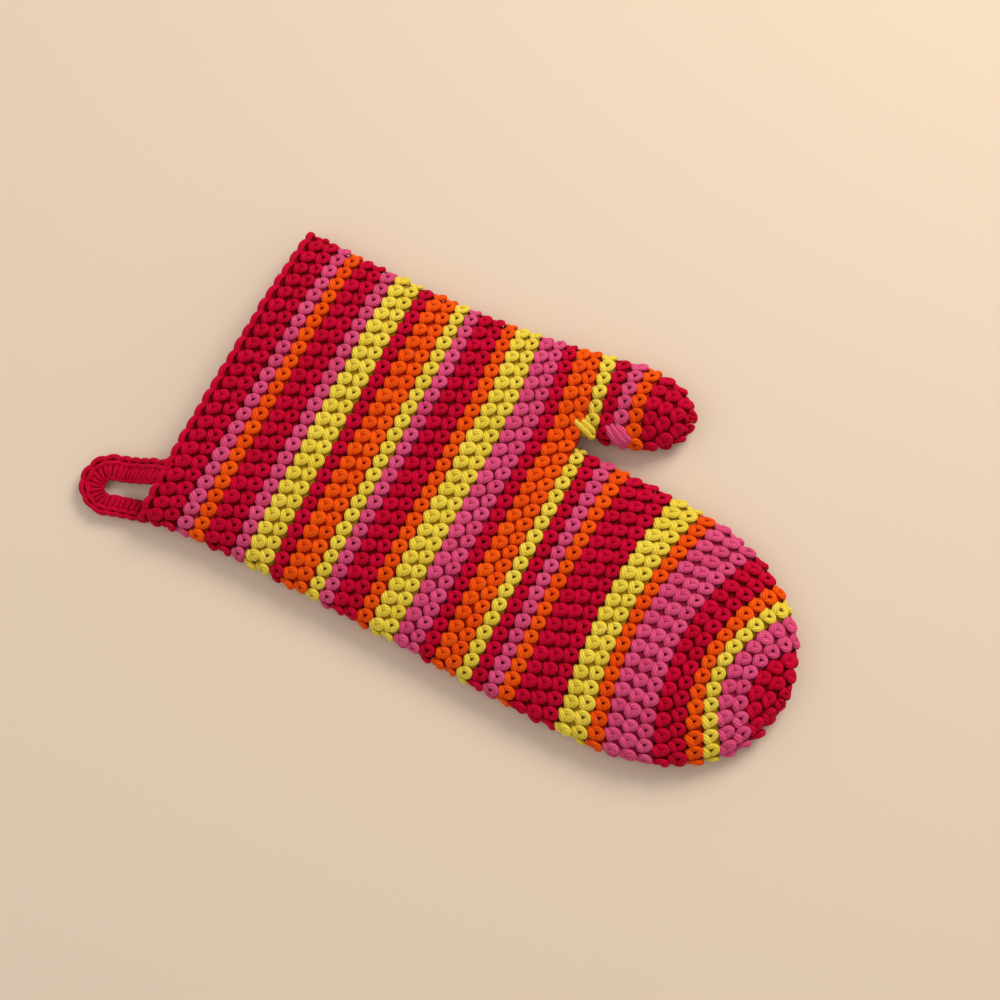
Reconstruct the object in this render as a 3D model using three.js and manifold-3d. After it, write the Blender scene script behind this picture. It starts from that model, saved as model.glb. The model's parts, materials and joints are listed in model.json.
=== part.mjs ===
// A crocheted oven mitt, lying flat with its thumb to one side.
// Every colour stripe is its own length of yarn, worked round and round into a tube,
// so every stripe is a solid of its own: an oval ring of crocheted fabric.
// Millimetres. X runs from the cuff to the fingertips, Y towards the thumb, Z up.
import * as THREE from 'three';
import Module from 'manifold-3d';
import { mergeVertices } from 'three/addons/utils/BufferGeometryUtils.js';

const wasm = await Module();
wasm.setup();

// The crocheted fabric
const WALL = 4.8;            // thickness of the fabric
const RIM = 5.6;             // radius of the folded side edges
const CROWN = 9.5;           // how far the middle stands above the side edges
const CROWN_REACH = 45;      // distance from an edge at which the crown is full
const GAP = 0.3;             // clearance between neighbouring solids

// The hand: 24 rounds above a narrow edging
const HAND_START = 2;        // where the first round begins
const HAND_END = 146.5;      // where the fingers and the thumb begin
const HAND_ROUNDS = 24;
const EDGING_DEPTH = 3;
const CUFF_TOP = 87.2;       // thumb-side edge at the cuff
const THUMB_FLARE = 12.5;    // how far that edge moves out by the thumb
const CUFF_BOTTOM = -56;     // little-finger-side edge
const CUFF_FLARE = 3.2;      // how far the cuff's corner stands out
const CUFF_FLARE_LENGTH = 45;
const BOTTOM_SWELL = 1.4;
const CUFF_SKEW = 0.04;      // the cuff's edge leans by this slope
const CUFF_SKEW_CENTRE = 20;
const CUFF_SKEW_ROUNDS = 6;  // and is straight after this many rounds
const CROTCH_Y = 57.3;       // the notch between fingers and thumb
const GUSSET_ROUND = 9;      // the rounds begin to lean towards the thumb here

// The fingers and the thumb: tubes that end in a round tip
const FINGERS = {
  rounds: 22, x: HAND_END, y: -0.8, angle: 0, length: 128.9,
  halfWidth: 56.8, straight: 43.5, power: 2.6, edgePower: 1.05,
};
const THUMB_ANGLE = THREE.MathUtils.degToRad(11.5);
const THUMB = {
  rounds: 8, x: 142.3, y: 78.3, angle: THUMB_ANGLE, length: 46.6,
  halfWidth: 19.8, straight: 15, power: 2.2, edgePower: 1,
};

// The hanging loop: a flat crocheted strap bent round a narrow eye
const LOOP = {
  x: -22.5, y: -52.2, angle: THREE.MathUtils.degToRad(17),
  eyeRadius: 3, outerRadius: 14.4, lowerRadius: 12.2, thickness: 4.5, rootX: -6.85,
};

// The two darned stitches at the crotch, and how far round them they have to clear the fabric
const YELLOW_DARN = { round: 23.7, across: 63, turn: -32, length: 9.5, width: 4.8, height: 3 };
const PINK_DARN = { round: 2.6, across: -12.8, turn: -43, length: 10.5, width: 6, height: 3 };
const DARN_REACH = 4;

// The stripes, from the cuff outwards: colour and number of rounds
const HAND_STRIPES = [
  ['crimson', 2], ['pink', 1], ['orange', 1], ['crimson', 2], ['pink', 1], ['yellow', 2],
  ['crimson', 1], ['orange', 2], ['yellow', 1], ['pink', 1], ['crimson', 2], ['orange', 1],
  ['yellow', 2], ['pink', 2], ['crimson', 1], ['orange', 2],
];
const FINGER_STRIPES = [
  ['yellow', 1], ['crimson', 1], ['pink', 1], ['orange', 1], ['crimson', 3], ['yellow', 2],
  ['orange', 1], ['pink', 3], ['crimson', 2], ['orange', 1], ['yellow', 1], ['pink', 2],
  ['crimson', 3],
];
const THUMB_STRIPES = [['yellow', 1], ['crimson', 1], ['pink', 1], ['orange', 1], ['crimson', 4]];

// Sections
const FACE_POINTS = 7;       // points across each face between the rims
const RIM_STEP = RIM * (1 - Math.SQRT1_2);
const OUTLINE_STEPS = 40;
const TIP_SHARE = 0.35;      // the last section before the pole of a tip, in rounds

const YARN = {
  crimson: new THREE.MeshStandardMaterial({ color: 0xb00a30, roughness: 0.9, metalness: 0 }),
  pink: new THREE.MeshStandardMaterial({ color: 0xc94a80, roughness: 0.9, metalness: 0 }),
  orange: new THREE.MeshStandardMaterial({ color: 0xd9480c, roughness: 0.9, metalness: 0 }),
  yellow: new THREE.MeshStandardMaterial({ color: 0xd2c23a, roughness: 0.9, metalness: 0 }),
};

// ---- The thickness of the mitt ----

function rimHeight(depth) {
  const inset = RIM - Math.min(depth, RIM);
  return Math.sqrt(RIM * RIM - inset * inset);
}

function crownHeight(depth) {
  const reach = Math.min(depth / CROWN_REACH, 1);
  return CROWN * (1 - (1 - reach) ** 2);
}

// A place in the flat mitt, with its depth from the side edge and the way out,
// becomes a point on the outside of the front (side 1) or back (side -1) and one on the inside.
function lift(place, side) {
  const lean = Math.max(0, (RIM - place.depth) / RIM);
  const upright = side * Math.sqrt(1 - lean * lean);
  const crown = side > 0 ? crownHeight(place.depth) : 0;
  const outer = new THREE.Vector3(place.x, place.y, RIM + side * rimHeight(place.depth) + crown);
  const normal = new THREE.Vector3(place.out.x * lean, place.out.y * lean, upright);
  const inner = outer.clone().addScaledVector(normal, -WALL);
  return { outer, inner };
}

// ---- The hand ----

function thumbSideEdge(x) {
  return CUFF_TOP + THUMB_FLARE * Math.max(0, x / HAND_END) ** 3;
}

function littleFingerSideEdge(x) {
  const flare = Math.max(0, 1 - x / CUFF_FLARE_LENGTH) ** 2;
  const swell = Math.max(0, x / HAND_END) ** 6;
  return CUFF_BOTTOM - CUFF_FLARE * flare - BOTTOM_SWELL * swell;
}

function handX(round, y) {
  const pitch = (HAND_END - HAND_START) / HAND_ROUNDS;
  const gusset = Math.max(0, (round - GUSSET_ROUND) / (HAND_ROUNDS - GUSSET_ROUND));
  const lean = Math.tan(THUMB_ANGLE) * gusset * Math.max(0, y - CROTCH_Y);
  const skewLeft = Math.max(0, 1 - Math.max(0, round) / CUFF_SKEW_ROUNDS);
  const skew = CUFF_SKEW * skewLeft * (y - CUFF_SKEW_CENTRE);
  return HAND_START + pitch * round - lean + skew;
}

const hand = {
  ends(round) {
    let top = CUFF_TOP;
    let bottom = CUFF_BOTTOM;
    for (let pass = 0; pass < 6; pass += 1) {
      top = thumbSideEdge(handX(round, top));
      bottom = littleFingerSideEdge(handX(round, bottom));
    }
    return [top, bottom];
  },
  place(round, y) {
    const x = handX(round, y);
    const toThumbSide = thumbSideEdge(x) - y;
    const toOtherSide = y - littleFingerSideEdge(x);
    const toCrotch = Math.hypot(x - HAND_END, y - CROTCH_Y) + RIM;
    const out = new THREE.Vector2(0, toThumbSide < toOtherSide ? 1 : -1);
    return { x, y, depth: Math.max(0, Math.min(toThumbSide, toOtherSide, toCrotch)), out };
  },
};

// ---- The fingers and the thumb ----

// The outline of a tube with a round tip, in its own frame: a along it and b across it,
// from behind the root on one side, round the tip, to behind the root on the other.
function tipOutline(spec) {
  const side = [new THREE.Vector2(0, spec.halfWidth)];
  const dome = spec.length - spec.straight;
  for (let step = 0; step <= OUTLINE_STEPS; step += 1) {
    const turn = (step / OUTLINE_STEPS) * (Math.PI / 2);
    const along = spec.straight + dome * Math.sin(turn) ** (2 / spec.power);
    side.push(new THREE.Vector2(along, spec.halfWidth * Math.cos(turn)));
  }
  return side;
}

function nearestEdge(outline, a, b) {
  const nearest = { depth: Infinity, out: new THREE.Vector2(0, 1) };
  for (let i = 0; i + 1 < outline.length; i += 1) {
    const from = outline[i];
    const run = new THREE.Vector2().subVectors(outline[i + 1], from);
    const share = ((a - from.x) * run.x + (b - from.y) * run.y) / run.lengthSq();
    const least = i === 0 ? -Infinity : 0;
    const held = THREE.MathUtils.clamp(share, least, 1);
    const depth = Math.hypot(a - from.x - run.x * held, b - from.y - run.y * held);
    if (depth < nearest.depth) {
      nearest.depth = depth;
      nearest.out.set(-run.y, run.x).normalize();
    }
  }
  return nearest;
}

function tube(spec) {
  const outline = tipOutline(spec);
  const edge = new THREE.CurvePath();
  for (let i = 0; i + 1 < outline.length; i += 1) {
    edge.add(new THREE.LineCurve(outline[i], outline[i + 1]));
  }
  const cos = Math.cos(spec.angle);
  const sin = Math.sin(spec.angle);
  const edgePoint = (round) => edge.getPoint((round / spec.rounds) ** spec.edgePower);
  const turned = (a, b) => new THREE.Vector2(a * cos - b * sin, a * sin + b * cos);
  return {
    ends(round) {
      const { y } = edgePoint(round);
      return [y, -y];
    },
    place(round, across) {
      const end = edgePoint(round);
      const middle = (spec.length * round) / spec.rounds;
      const bow = end.y > 0 ? (across / end.y) ** 2 : 0;
      const along = middle + (end.x - middle) * bow;
      const near = nearestEdge(outline, along, Math.abs(across));
      const at = turned(along, across);
      const out = turned(near.out.x, near.out.y * Math.sign(across || 1));
      return { x: spec.x + at.x, y: spec.y + at.y, depth: near.depth, out };
    },
  };
}

const fingers = tube(FINGERS);
const thumb = tube(THUMB);

// ---- Rounds and rings ----

// The place across a round at which the edge is a given depth away.
function acrossAtDepth(part, round, end, middle, depth) {
  if (part.place(round, middle).depth <= depth * 1.05) {
    return THREE.MathUtils.lerp(end, middle, (0.7 * depth) / RIM);
  }
  let low = 0;
  let high = 1;
  for (let pass = 0; pass < 24; pass += 1) {
    const share = (low + high) / 2;
    const across = THREE.MathUtils.lerp(end, middle, share);
    if (part.place(round, across).depth < depth) low = share;
    else high = share;
  }
  return THREE.MathUtils.lerp(end, middle, high);
}

function acrossSteps(part, round) {
  const [start, end] = part.ends(round);
  const middle = (start + end) / 2;
  const first = acrossAtDepth(part, round, start, middle, RIM);
  const last = acrossAtDepth(part, round, end, middle, RIM);
  const steps = [start, acrossAtDepth(part, round, start, middle, RIM_STEP), first];
  for (let i = 1; i <= FACE_POINTS; i += 1) {
    steps.push(THREE.MathUtils.lerp(first, last, i / (FACE_POINTS + 1)));
  }
  steps.push(last, acrossAtDepth(part, round, end, middle, RIM_STEP), end);
  return steps;
}

// One closed section: over the front from edge to edge, and back under it.
function section(part, round) {
  const places = acrossSteps(part, round).map((across) => part.place(round, across));
  const front = places.map((place) => lift(place, 1));
  const back = places.slice(1, -1).reverse().map((place) => lift(place, -1));
  return front.concat(back);
}

function solidFrom(points, faces) {
  const geometry = new THREE.BufferGeometry();
  const coordinates = points.flatMap((point) => point.toArray());
  geometry.setAttribute('position', new THREE.Float32BufferAttribute(coordinates, 3));
  geometry.setIndex(faces);
  geometry.computeVertexNormals();
  return geometry;
}

// A ring through several sections. With a pole it is closed at that end: a tip.
function ringGeometry(sections, pole) {
  const count = sections[0].length;
  const points = [];
  const faces = [];
  const outer = (row, i) => 2 * (row * count + (i % count));
  const inner = (row, i) => outer(row, i) + 1;
  const quad = (a, b, c, d) => faces.push(a, b, c, a, c, d);
  sections.forEach((ring) => ring.forEach((pair) => points.push(pair.outer, pair.inner)));
  const last = sections.length - 1;
  for (let i = 0; i < count; i += 1) {
    for (let row = 0; row < last; row += 1) {
      quad(outer(row, i), outer(row, i + 1), outer(row + 1, i + 1), outer(row + 1, i));
      quad(inner(row, i), inner(row + 1, i), inner(row + 1, i + 1), inner(row, i + 1));
    }
    quad(outer(0, i), inner(0, i), inner(0, i + 1), outer(0, i + 1));
    if (pole) {
      faces.push(outer(last, i), outer(last, i + 1), points.length);
      faces.push(inner(last, i), points.length + 1, inner(last, i + 1));
    } else {
      quad(outer(last, i), outer(last, i + 1), inner(last, i + 1), inner(last, i));
    }
  }
  if (pole) points.push(pole.outer, pole.inner);
  return solidFrom(points, faces);
}

function named(name, geometry, colour) {
  const mesh = new THREE.Mesh(geometry, YARN[colour]);
  mesh.name = name;
  return mesh;
}

// The stripes of one part, each from its first round to its last, with a gap between them.
function stripes(label, part, spec, list) {
  const pitch = spec.length / spec.rounds;
  const inset = GAP / 2 / pitch;
  const group = new THREE.Group();
  let round = 0;
  list.forEach(([colour, rounds], index) => {
    const isTip = spec.hasTip && index === list.length - 1;
    const number = String(index + 1).padStart(2, '0');
    const name = `${label}_${number}_${colour}${isTip ? '_tip' : ''}`;
    const from = round + inset;
    const to = isTip ? spec.rounds - TIP_SHARE : round + rounds - inset;
    const steps = isTip ? rounds : Math.ceil((rounds * spec.cuts) / 2);
    const sections = [];
    for (let i = 0; i <= steps; i += 1) {
      sections.push(section(part, THREE.MathUtils.lerp(from, to, i / steps)));
    }
    const pole = isTip ? lift({ ...part.place(spec.rounds, 0), depth: 0 }, 1) : null;
    group.add(named(name, ringGeometry(sections, pole), colour));
    round += rounds;
  });
  return group;
}

// ---- The hanging loop ----

function toManifold(geometry) {
  const plain = geometry.clone();
  plain.deleteAttribute('normal');
  plain.deleteAttribute('uv');
  const merged = mergeVertices(plain);
  return new wasm.Manifold(new wasm.Mesh({
    numProp: 3,
    vertProperties: new Float32Array(merged.attributes.position.array),
    triVerts: new Uint32Array(merged.index.array),
  }));
}

function fromManifold(solid) {
  const { vertProperties, triVerts } = solid.getMesh();
  const geometry = new THREE.BufferGeometry();
  geometry.setAttribute('position', new THREE.BufferAttribute(vertProperties, 3));
  geometry.setIndex(new THREE.BufferAttribute(triVerts, 1));
  geometry.computeVertexNormals();
  return geometry;
}

// A point of the loop, v across the eye's centre line, where the strap meets the cuff.
function loopRoot(v) {
  const u = (LOOP.rootX - LOOP.x + v * Math.sin(LOOP.angle)) / Math.cos(LOOP.angle);
  return new THREE.Vector2(u, v);
}

function loopOutline() {
  const { eyeRadius, outerRadius, lowerRadius } = LOOP;
  const shape = new THREE.Shape();
  const start = loopRoot(outerRadius);
  shape.moveTo(start.x, start.y);
  shape.lineTo(0, outerRadius);
  shape.absarc(0, 0, outerRadius, Math.PI / 2, 1.5 * Math.PI, false);
  const lowerOuter = loopRoot(-lowerRadius);
  shape.lineTo(lowerOuter.x, lowerOuter.y);
  const lowerInner = loopRoot(-eyeRadius);
  shape.lineTo(lowerInner.x, lowerInner.y);
  shape.lineTo(0, -eyeRadius);
  shape.absarc(0, 0, eyeRadius, 1.5 * Math.PI, Math.PI / 2, true);
  const upperInner = loopRoot(eyeRadius);
  shape.lineTo(upperInner.x, upperInner.y);
  shape.closePath();
  return shape;
}

// A round root, so that the strap can turn at the cuff.
function loopRootRoller(fromV, toV) {
  const at = (v) => loopRoot(v).rotateAround(new THREE.Vector2(), LOOP.angle).y + LOOP.y;
  const width = Math.abs(at(fromV) - at(toV));
  const roller = new THREE.CylinderGeometry(LOOP.thickness / 2, LOOP.thickness / 2, width, 16);
  roller.translate(LOOP.rootX, (at(fromV) + at(toV)) / 2, LOOP.thickness / 2);
  return toManifold(roller);
}

function loopGeometry() {
  const strap = new THREE.ExtrudeGeometry(loopOutline(), {
    depth: LOOP.thickness, bevelEnabled: false, curveSegments: 14,
  });
  strap.rotateZ(LOOP.angle);
  strap.translate(LOOP.x, LOOP.y, 0);
  const solid = toManifold(strap)
    .add(loopRootRoller(LOOP.outerRadius, LOOP.eyeRadius))
    .add(loopRootRoller(-LOOP.eyeRadius, -LOOP.lowerRadius));
  return fromManifold(solid);
}

// ---- The darned stitches that close the crotch ----

// A short thick stitch lying on the front of a part, at a place given by round and across.
function darnedStitch(name, colour, part, darn) {
  const geometry = new THREE.SphereGeometry(0.5, 12, 8);
  geometry.scale(darn.length, darn.width, darn.height);
  const mesh = named(name, geometry, colour);
  const surface = (roundStep, acrossStep) => (
    lift(part.place(darn.round + roundStep, darn.across + acrossStep), 1).outer
  );
  const foot = surface(0, 0);
  const onward = surface(0.5, 0).sub(surface(-0.5, 0));
  const sideways = surface(0, DARN_REACH).sub(surface(0, -DARN_REACH));
  const normal = onward.cross(sideways).normalize();
  const turn = THREE.MathUtils.degToRad(darn.turn);
  const along = new THREE.Vector3(Math.cos(turn), Math.sin(turn), 0).projectOnPlane(normal).normalize();
  const side = normal.clone().cross(along);
  mesh.quaternion.setFromRotationMatrix(new THREE.Matrix4().makeBasis(along, side, normal));
  let clearance = 0;
  [-0.7, -0.35, 0, 0.35, 0.7].forEach((roundStep) => {
    [-1, -0.5, 0, 0.5, 1].forEach((share) => {
      const rise = surface(roundStep, share * DARN_REACH).sub(foot).dot(normal);
      clearance = Math.max(clearance, rise);
    });
  });
  mesh.position.copy(foot).addScaledVector(normal, clearance + GAP + darn.height / 2);
  return mesh;
}

// ---- The whole mitt ----

const handSpec = { rounds: HAND_ROUNDS, length: HAND_END - HAND_START, cuts: 1 };
const mitt = new THREE.Group();
const edgingRound = EDGING_DEPTH * (HAND_ROUNDS / handSpec.length);
const edgingInset = (GAP / 2) * (HAND_ROUNDS / handSpec.length);
const edging = [section(hand, -edgingRound), section(hand, -edgingInset)];
mitt.add(named('cuff_edging', ringGeometry(edging), 'crimson'));
mitt.add(stripes('hand_stripe', hand, handSpec, HAND_STRIPES));
mitt.add(stripes('finger_stripe', fingers, { ...FINGERS, cuts: 2, hasTip: true }, FINGER_STRIPES));
mitt.add(stripes('thumb_stripe', thumb, { ...THUMB, cuts: 1, hasTip: true }, THUMB_STRIPES));
mitt.add(named('hanging_loop', loopGeometry(), 'crimson'));
mitt.add(darnedStitch('crotch_darn_yellow', 'yellow', hand, YELLOW_DARN));
mitt.add(darnedStitch('crotch_darn_pink', 'pink', thumb, PINK_DARN));

// The origin is under the middle of the mitt, on the surface that it lies on.
const box = new THREE.Box3().setFromObject(mitt);
const centre = box.getCenter(new THREE.Vector3());
mitt.position.set(-centre.x, -centre.y, -box.min.z);

const ovenMitt = new THREE.Group();
ovenMitt.add(mitt);

export default ovenMitt;
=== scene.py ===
"""A crocheted oven mitt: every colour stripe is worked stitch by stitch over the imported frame."""
import json
import math
import random

import bmesh
import bpy
import numpy as np
from mathutils import Matrix, Vector


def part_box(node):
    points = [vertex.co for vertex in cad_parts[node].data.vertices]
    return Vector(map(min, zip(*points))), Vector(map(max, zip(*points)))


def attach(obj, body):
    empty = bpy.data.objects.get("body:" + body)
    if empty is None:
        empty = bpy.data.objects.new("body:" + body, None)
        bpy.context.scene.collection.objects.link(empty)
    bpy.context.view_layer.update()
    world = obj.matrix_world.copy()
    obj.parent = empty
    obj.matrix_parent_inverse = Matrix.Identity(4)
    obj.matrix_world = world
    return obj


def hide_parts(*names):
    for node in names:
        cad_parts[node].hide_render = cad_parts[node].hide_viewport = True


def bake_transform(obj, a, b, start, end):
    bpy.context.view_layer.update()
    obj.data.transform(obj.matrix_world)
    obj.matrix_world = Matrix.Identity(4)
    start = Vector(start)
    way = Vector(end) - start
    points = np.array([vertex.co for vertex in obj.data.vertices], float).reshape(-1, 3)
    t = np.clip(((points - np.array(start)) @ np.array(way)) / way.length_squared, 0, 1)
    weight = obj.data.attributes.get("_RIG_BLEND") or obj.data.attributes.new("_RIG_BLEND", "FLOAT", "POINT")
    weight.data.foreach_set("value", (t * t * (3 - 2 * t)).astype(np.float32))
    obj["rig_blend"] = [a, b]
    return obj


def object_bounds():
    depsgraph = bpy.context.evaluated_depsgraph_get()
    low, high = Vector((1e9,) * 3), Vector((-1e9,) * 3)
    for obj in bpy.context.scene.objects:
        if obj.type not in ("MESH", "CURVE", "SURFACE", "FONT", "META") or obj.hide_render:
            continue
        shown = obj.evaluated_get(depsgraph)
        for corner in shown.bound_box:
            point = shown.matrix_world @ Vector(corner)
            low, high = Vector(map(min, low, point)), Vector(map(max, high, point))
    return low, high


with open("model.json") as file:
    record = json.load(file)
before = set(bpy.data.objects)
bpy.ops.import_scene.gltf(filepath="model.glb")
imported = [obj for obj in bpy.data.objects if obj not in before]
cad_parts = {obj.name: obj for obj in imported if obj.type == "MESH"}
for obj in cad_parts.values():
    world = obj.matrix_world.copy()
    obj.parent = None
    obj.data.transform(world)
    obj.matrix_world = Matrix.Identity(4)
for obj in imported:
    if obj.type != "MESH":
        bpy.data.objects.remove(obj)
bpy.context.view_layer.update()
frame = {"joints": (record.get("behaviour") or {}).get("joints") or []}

MM = 0.001

# ---- Driving dimensions, in millimetres: the same mitt as the frame ----

WALL = 4.8              # thickness of the crocheted fabric
RIM = 5.6               # radius of the folded side edges
CROWN = 9.5             # how far the middle stands above the side edges
CROWN_REACH = 45        # distance from an edge at which the crown is full
HAND_START = 2
HAND_END = 146.5
HAND_ROUNDS = 24
EDGING_DEPTH = 3
CUFF_TOP = 87.2         # the thumb's side edge at the cuff
THUMB_FLARE = 12.5      # how far that edge has moved out at the crotch
CUFF_BOTTOM = -56       # the other side edge at the cuff
CUFF_FLARE = 3.2
CUFF_FLARE_LENGTH = 45
BOTTOM_SWELL = 1.4
CUFF_SKEW = 0.04
CUFF_SKEW_CENTRE = 20
CUFF_SKEW_ROUNDS = 6
CROTCH_Y = 57.3
GUSSET_ROUND = 9        # the round from which the fabric widens for the thumb
THUMB_ANGLE = math.radians(11.5)
FINGERS = dict(rounds=22, x=HAND_END, y=-0.8, angle=0.0, length=128.9, half_width=56.8,
               straight=43.5, power=2.6, edge_power=1.05)
THUMB = dict(rounds=8, x=142.3, y=78.3, angle=THUMB_ANGLE, length=46.6, half_width=19.8,
             straight=15, power=2.2, edge_power=1.0)
LOOP = dict(x=-22.5, y=-52.2, angle=math.radians(17), eye=3.0, outer=14.4, lower=12.2,
            thickness=4.5)

# The gauge of the crochet
STITCH_WIDTH = 6.5
ROUND_PITCH = (HAND_END - HAND_START) / HAND_ROUNDS
STITCH_LEAN = 0.62      # each round sits this share of a stitch beside the last one
SKIN = 2.8              # from the outside of the fabric down to the stitches' own mid surface
EDGE_PASSES = 6         # how often an edge is looked up again on a slanting round

# Where the frame's origin lies in the mitt's own coordinates
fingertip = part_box("finger_stripe_13_crimson_tip")[1].x
root_low, root_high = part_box("finger_stripe_01_yellow")
ORIGIN = np.array([
    FINGERS["x"] + FINGERS["length"] - fingertip / MM,
    FINGERS["y"] - (root_low.y + root_high.y) / 2 / MM,
    0.0,
])


def to_frame(points):
    """Points in the mitt's own millimetres, as metres in the frame."""
    return (points - ORIGIN) * MM


# ---- The shape of the mitt: a place across a round, and its point on the fabric ----

def hand_x(rounds, across):
    gusset = max(0.0, (rounds - GUSSET_ROUND) / (HAND_ROUNDS - GUSSET_ROUND))
    lean = math.tan(THUMB_ANGLE) * gusset * np.maximum(0, across - CROTCH_Y)
    skew_left = max(0.0, 1 - max(0.0, rounds) / CUFF_SKEW_ROUNDS)
    skew = CUFF_SKEW * skew_left * (across - CUFF_SKEW_CENTRE)
    return HAND_START + ROUND_PITCH * rounds - lean + skew


def thumb_side_edge(x):
    return CUFF_TOP + THUMB_FLARE * np.maximum(0, x / HAND_END) ** 3


def little_finger_side_edge(x):
    flare = np.maximum(0, 1 - x / CUFF_FLARE_LENGTH) ** 2
    swell = np.maximum(0, x / HAND_END) ** 6
    return CUFF_BOTTOM - CUFF_FLARE * flare - BOTTOM_SWELL * swell


def hand_ends(rounds):
    top, bottom = CUFF_TOP, CUFF_BOTTOM
    for _ in range(EDGE_PASSES):
        top = float(thumb_side_edge(hand_x(rounds, top)))
        bottom = float(little_finger_side_edge(hand_x(rounds, bottom)))
    return top, bottom


def hand_places(rounds, across):
    """Positions, depths from the side edge and ways out, for places across one round."""
    x = hand_x(rounds, across)
    to_thumb_side = thumb_side_edge(x) - across
    to_other_side = across - little_finger_side_edge(x)
    to_crotch = np.hypot(x - HAND_END, across - CROTCH_Y) + RIM
    depth = np.maximum(0, np.minimum(np.minimum(to_thumb_side, to_other_side), to_crotch))
    out_y = np.where(to_thumb_side < to_other_side, 1.0, -1.0)
    out = np.stack([np.zeros_like(out_y), out_y], -1)
    return np.stack([x, across], -1), depth, out


TIP_STEPS = 61


def tip_outline(spec):
    """One side of a flat tube from its root to its tip, with a corner only at the root."""
    turn = np.linspace(0, math.pi / 2, TIP_STEPS)
    dome = spec["length"] - spec["straight"]
    along = spec["straight"] + dome * np.sin(turn) ** (2 / spec["power"])
    side = np.stack([along, spec["half_width"] * np.cos(turn)], -1)
    return np.vstack([[0.0, spec["half_width"]], side])


def edge_point(spec, outline, rounds):
    """Where a round meets the side edge of its tube: along the tube, and out from its middle."""
    if rounds <= 0:
        return rounds * spec["length"] / spec["rounds"], spec["half_width"]
    steps = np.linalg.norm(np.diff(outline, axis=0), axis=1)
    run = np.concatenate([[0], np.cumsum(steps)])
    at = run[-1] * (rounds / spec["rounds"]) ** spec["edge_power"]
    return float(np.interp(at, run, outline[:, 0])), float(np.interp(at, run, outline[:, 1]))


def tube_places(spec, rounds, across):
    """The same as hand_places, for a tube with a round tip."""
    outline = tip_outline(spec)
    end_x, end_y = edge_point(spec, outline, rounds)
    middle = spec["length"] * rounds / spec["rounds"]
    bow = (across / end_y) ** 2 if end_y > 1e-6 else np.zeros_like(across)
    along = middle + (end_x - middle) * bow
    start, run = outline[:-1], np.diff(outline, axis=0)
    place = np.stack([along, np.abs(across)], -1)[:, None, :]
    share = ((place - start) * run).sum(-1) / (run * run).sum(-1)
    least = np.zeros(len(start))
    least[0] = -np.inf
    held = np.clip(share, least, 1)
    gap = np.linalg.norm(place - start - run * held[..., None], axis=-1)
    nearest = gap.argmin(1)
    away = np.stack([-run[nearest, 1], run[nearest, 0]], -1)
    away = np.abs(away) / np.linalg.norm(away, axis=1)[:, None]
    out = np.stack([away[:, 0], away[:, 1] * np.where(across < 0, -1, 1)], -1)
    cos, sin = math.cos(spec["angle"]), math.sin(spec["angle"])
    turn = np.array([[cos, sin], [-sin, cos]])
    position = np.stack([along, across], -1) @ turn + [spec["x"], spec["y"]]
    return position, gap.min(1), out @ turn


def lift(position, depth, out, side):
    """The stitches' mid surface over places in the flat mitt, and the way out of the fabric."""
    inset = RIM - np.minimum(depth, RIM)
    lean = inset / RIM
    upright = side * np.sqrt(1 - lean * lean)
    reach = np.minimum(depth / CROWN_REACH, 1)
    crown = CROWN * (1 - (1 - reach) ** 2) if side > 0 else 0
    z = RIM + side * np.sqrt(RIM * RIM - inset * inset) + crown
    normal = np.stack([out[:, 0] * lean, out[:, 1] * lean, upright], -1)
    points = np.stack([position[:, 0], position[:, 1], z], -1)
    return points - normal * SKIN, normal


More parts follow.
